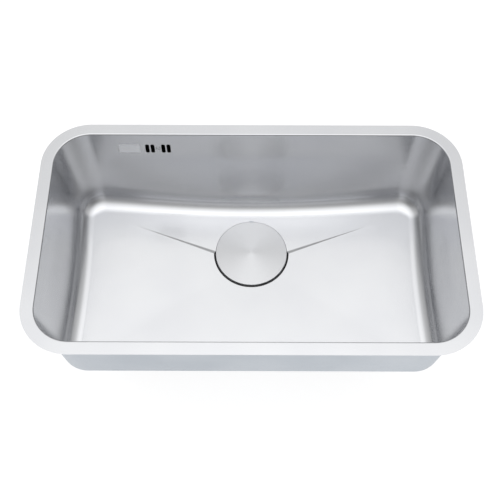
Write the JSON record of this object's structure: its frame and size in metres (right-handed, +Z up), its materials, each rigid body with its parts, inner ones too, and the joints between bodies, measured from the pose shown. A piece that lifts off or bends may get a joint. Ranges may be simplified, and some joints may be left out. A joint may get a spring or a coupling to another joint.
{
  "type": "undermount kitchen sink",
  "caption": "Single bowl undermount sink of pressed stainless sheet with a round drain cover, lift-out strainer basket with plug, waste tee and slotted overflow.",
  "frame": {"origin": "centre of the rim's flat top face, in the plane of the worktop's underside", "axes": "+X along the sink to the right as seen by the person using it, +Y to the back wall with the overflow, +Z up"},
  "size_m": [0.76, 0.4634, 0.358],
  "materials": {
    "satin_sheet": "satin pressed stainless sheet, fine directionless grain",
    "spun_steel": "stainless, spun brushing round the centre",
    "cast_steel": "machined stainless, satin",
    "pressed_steel": "thin pressed stainless, satin",
    "seal_rubber": "moulded black rubber",
    "fibre_board": "pressed fibre board",
    "nut_plastic": "grey moulded plastic",
    "waste_plastic": "white moulded plastic",
    "insert_brass": "turned brass",
    "screw_steel": "bright turned stainless",
    "pad_rubber": "dense grey rubber sheet",
    "sticker_film": "blank pale film"
  },
  "bodies": {
    "sink": {"bowl": "satin_sheet", "strainer_body": "cast_steel", "flange_gasket": "seal_rubber", "under_gasket": "seal_rubber", "overflow_gasket": "seal_rubber", "tee_seal": "seal_rubber", "slip_seals": "seal_rubber", "friction_washer": "fibre_board", "lock_nut": "nut_plastic", "coupling_nut": "nut_plastic", "slip_nuts": "nut_plastic", "waste_tee": "waste_plastic", "overflow_housing": "waste_plastic", "overflow_pipe": "waste_plastic", "overflow_insert": "insert_brass", "overflow_screw": "screw_steel", "sound_pad_left": "pad_rubber", "sound_pad_right": "pad_rubber", "blank_sticker": "sticker_film"},
    "basket": {"strainer_basket": "pressed_steel", "basket_bush": "screw_steel"},
    "plug": {"plug_seal": "seal_rubber", "plug_post": "screw_steel", "plug_knob": "screw_steel"},
    "cover": {"drain_cover": "spun_steel"}
  },
  "joints": [
    {"name": "basket_lift", "type": "slide", "parent": "sink", "child": "basket", "axis": [0, 0, 1], "range_m": [0, 0.28]},
    {"name": "plug_pull", "type": "slide", "parent": "basket", "child": "plug", "axis": [0, 0, 1], "range_m": [0, 0.008]},
    {"name": "cover_lift", "type": "slide", "parent": "basket", "child": "cover", "axis": [0, 0, 1], "range_m": [0, 0.215]}
  ]
}
